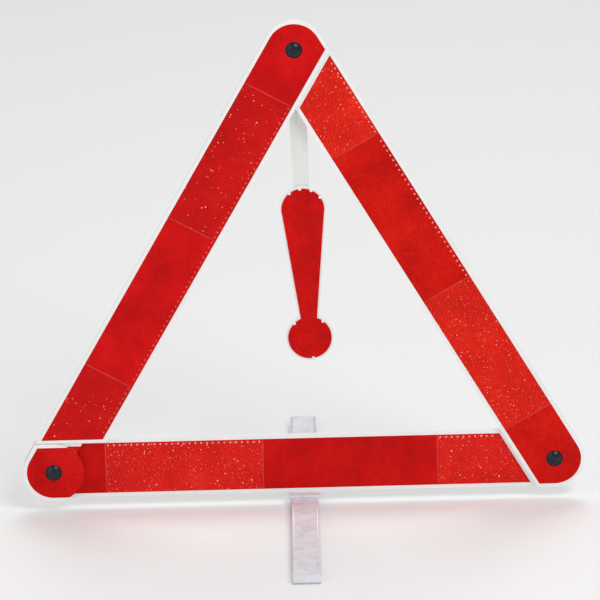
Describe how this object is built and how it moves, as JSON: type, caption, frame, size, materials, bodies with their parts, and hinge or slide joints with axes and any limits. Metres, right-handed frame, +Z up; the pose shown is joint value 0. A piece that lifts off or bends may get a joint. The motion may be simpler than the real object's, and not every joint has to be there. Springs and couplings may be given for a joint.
{
  "type": "warning triangle",
  "caption": "Folding red and white road warning triangle with a hanging exclamation mark and a swivelling steel foot.",
  "frame": {"origin": "on the ground, at the centre of the overall footprint, under the foot's swivel pin", "axes": "+Z up, +X to the right along the base bar as seen from the front, -Y towards the viewer in front of the red faces"},
  "size_m": [0.4634, 0.37, 0.418],
  "materials": {
    "white_plastic": "moulded white, faint texture",
    "plain_red": "smooth transparent-look red, glossy",
    "prism_red": "red with fine sparkling prism cells",
    "black_plastic": "semi-gloss black",
    "zinc_steel": "pale zinc-coated sheet, satin",
    "fastener_steel": "plated",
    "rubber": "matte",
    "strap_plastic": "satin, slightly translucent white"
  },
  "bodies": {
    "base": {"base_bar_tray": "white_plastic", "base_bar_root_panel": "plain_red", "base_bar_long_reflector": "prism_red", "base_bar_plain_panel": "plain_red", "base_bar_short_reflector": "prism_red", "base_bar_corner_cap": "white_plastic", "base_bar_end_panel": "plain_red", "left_corner_rivet": "black_plastic", "right_corner_rivet": "black_plastic", "left_lap_bush": "black_plastic", "right_lap_washer": "black_plastic", "foot_bracket": "zinc_steel", "swivel_pin": "fastener_steel", "bracket_screws": "fastener_steel"},
    "right_bar": {"right_bar_tray": "white_plastic", "right_bar_end_panel": "plain_red", "right_bar_long_reflector": "prism_red", "right_bar_plain_panel": "plain_red", "right_bar_short_reflector": "prism_red", "strap_post": "black_plastic"},
    "left_bar": {"left_bar_tray": "white_plastic", "left_bar_end_panel": "plain_red", "left_bar_long_reflector": "prism_red", "left_bar_plain_panel": "plain_red", "left_bar_short_reflector": "prism_red", "apex_stud": "black_plastic"},
    "strap": {"mark_strap": "strap_plastic", "mark_pin": "fastener_steel"},
    "mark": {"mark_plate": "white_plastic", "mark_red_film": "plain_red"},
    "foot": {"foot_channel": "zinc_steel", "foot_pads": "rubber"}
  },
  "joints": [
    {"name": "left_fold", "type": "hinge", "parent": "base", "child": "left_bar", "pos_m": [-0.2067, -0.0098, 0.035], "axis": [0, 1, 0], "range_deg": [0, 55]},
    {"name": "right_fold", "type": "hinge", "parent": "base", "child": "right_bar", "pos_m": [0.2067, -0.0098, 0.035], "axis": [0, -1, 0], "range_deg": [0, 55]},
    {"name": "strap_fold", "type": "hinge", "parent": "right_bar", "child": "strap", "pos_m": [0, 0, 0.39301], "axis": [0, -1, 0], "range_deg": [0, 28.3]},
    {"name": "mark_swing", "type": "hinge", "parent": "strap", "child": "mark", "pos_m": [0.00412, 0.004, 0.25407], "axis": [0, -1, 0], "range_deg": [-8, 8]},
    {"name": "foot_swivel", "type": "hinge", "parent": "base", "child": "foot", "pos_m": [0, 0, 0.007], "axis": [0, 0, 1], "range_deg": [0, 90]}
  ],
  "couplings": [
    {"joint": "strap_fold", "follows": "right_fold", "ratio": 0.5145}
  ]
}
